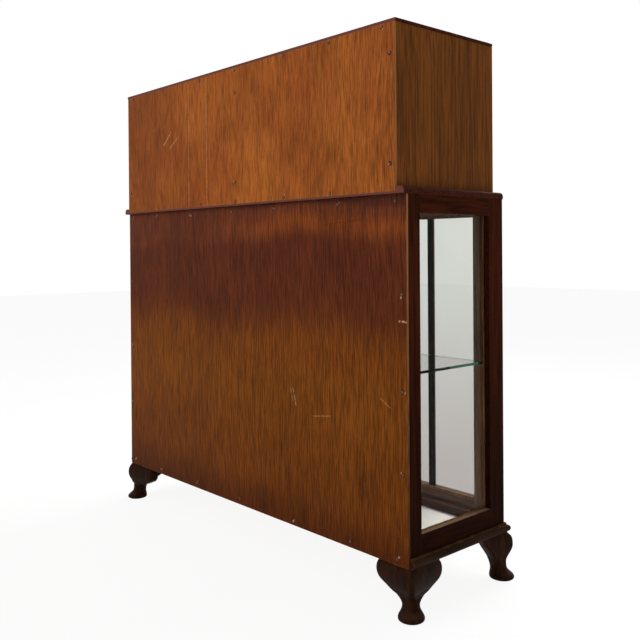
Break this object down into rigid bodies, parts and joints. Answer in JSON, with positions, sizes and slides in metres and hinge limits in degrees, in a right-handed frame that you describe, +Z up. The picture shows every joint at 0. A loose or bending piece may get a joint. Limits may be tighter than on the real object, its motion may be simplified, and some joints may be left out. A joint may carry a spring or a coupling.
{
  "type": "display cabinet with drawers",
  "caption": "Wooden collection cabinet on cabriole legs: glazed lower case with doors, glass shelf and fixed centre panel, drawer case above, screwed plywood backs.",
  "frame": {"origin": "on the floor, at the middle of the plan", "axes": "+Z up, the front with drawers and doors faces -Y, the screwed backs face +Y, +X is to the right seen from the front"},
  "size_m": [1.1412, 0.36, 1.1955],
  "materials": {
    "plywood": "worn varnish over veneered plywood",
    "stained_wood": "dark stain and semi-gloss varnish",
    "dark_wood": "very dark stain, semi-gloss",
    "pale_wood": "bare planed timber",
    "turned_wood": "turned and polished",
    "glass": "clear float glass with a green edge",
    "white_lining": "matt white laminate",
    "brass": "dulled brass",
    "steel": "dulled steel"
  },
  "bodies": {
    "case": {"back_screws": "steel", "back_top_rail": "pale_wood", "base_moulding": "dark_wood", "bottom_board": "pale_wood", "case_hinge_leaves": "brass", "centre_panel_frame": "stained_wood", "centre_panel_glass": "glass", "door_stops": "stained_wood", "drawer_rails": "pale_wood", "drawer_runners": "pale_wood", "end_frame_left": "stained_wood", "end_frame_right": "stained_wood", "end_glass_left": "glass", "end_glass_right": "glass", "floor_lining": "white_lining", "front_base_rail": "stained_wood", "glass_shelf": "glass", "glazing_beads": "stained_wood", "hinge_pins": "brass", "leg_back_left": "dark_wood", "leg_back_right": "dark_wood", "leg_front_left": "dark_wood", "leg_front_right": "dark_wood", "lower_back": "plywood", "mid_board": "stained_wood", "shelf_pegs": "steel", "upper_back": "plywood", "upper_end_left": "stained_wood", "upper_end_right": "stained_wood", "upper_top": "stained_wood", "upper_top_rails": "pale_wood", "upper_upright": "pale_wood"},
    "door_left": {"door_beads_left": "stained_wood", "door_frame_left": "stained_wood", "door_glass_left": "glass", "door_hinge_leaves_left": "brass", "door_knob_left": "turned_wood"},
    "drawer_1_left": {"drawer_1_box_left": "pale_wood", "drawer_1_front_left": "stained_wood", "drawer_1_knobs_left": "turned_wood"},
    "drawer_2_left": {"drawer_2_box_left": "pale_wood", "drawer_2_front_left": "stained_wood", "drawer_2_knobs_left": "turned_wood"},
    "drawer_3_left": {"drawer_3_box_left": "pale_wood", "drawer_3_front_left": "stained_wood", "drawer_3_knobs_left": "turned_wood"},
    "door_right": {"door_beads_right": "stained_wood", "door_frame_right": "stained_wood", "door_glass_right": "glass", "door_hinge_leaves_right": "brass", "door_knob_right": "turned_wood"},
    "drawer_1_right": {"drawer_1_box_right": "pale_wood", "drawer_1_front_right": "stained_wood", "drawer_1_knobs_right": "turned_wood"},
    "drawer_2_right": {"drawer_2_box_right": "pale_wood", "drawer_2_front_right": "stained_wood", "drawer_2_knobs_right": "turned_wood"},
    "drawer_3_right": {"drawer_3_box_right": "pale_wood", "drawer_3_front_right": "stained_wood", "drawer_3_knobs_right": "turned_wood"}
  },
  "joints": [
    {"name": "door_left_swing", "type": "hinge", "parent": "case", "child": "door_left", "pos_m": [-0.52925, -0.15671, 0.49], "axis": [0, 0, -1], "range_deg": [0, 110]},
    {"name": "drawer_1_left_slide", "type": "slide", "parent": "case", "child": "drawer_1_left", "axis": [0, -1, 0], "range_m": [0, 0.21]},
    {"name": "drawer_2_left_slide", "type": "slide", "parent": "case", "child": "drawer_2_left", "axis": [0, -1, 0], "range_m": [0, 0.21]},
    {"name": "drawer_3_left_slide", "type": "slide", "parent": "case", "child": "drawer_3_left", "axis": [0, -1, 0], "range_m": [0, 0.21]},
    {"name": "door_right_swing", "type": "hinge", "parent": "case", "child": "door_right", "pos_m": [0.52925, -0.15671, 0.49], "axis": [0, 0, 1], "range_deg": [0, 110]},
    {"name": "drawer_1_right_slide", "type": "slide", "parent": "case", "child": "drawer_1_right", "axis": [0, -1, 0], "range_m": [0, 0.21]},
    {"name": "drawer_2_right_slide", "type": "slide", "parent": "case", "child": "drawer_2_right", "axis": [0, -1, 0], "range_m": [0, 0.21]},
    {"name": "drawer_3_right_slide", "type": "slide", "parent": "case", "child": "drawer_3_right", "axis": [0, -1, 0], "range_m": [0, 0.21]}
  ]
}
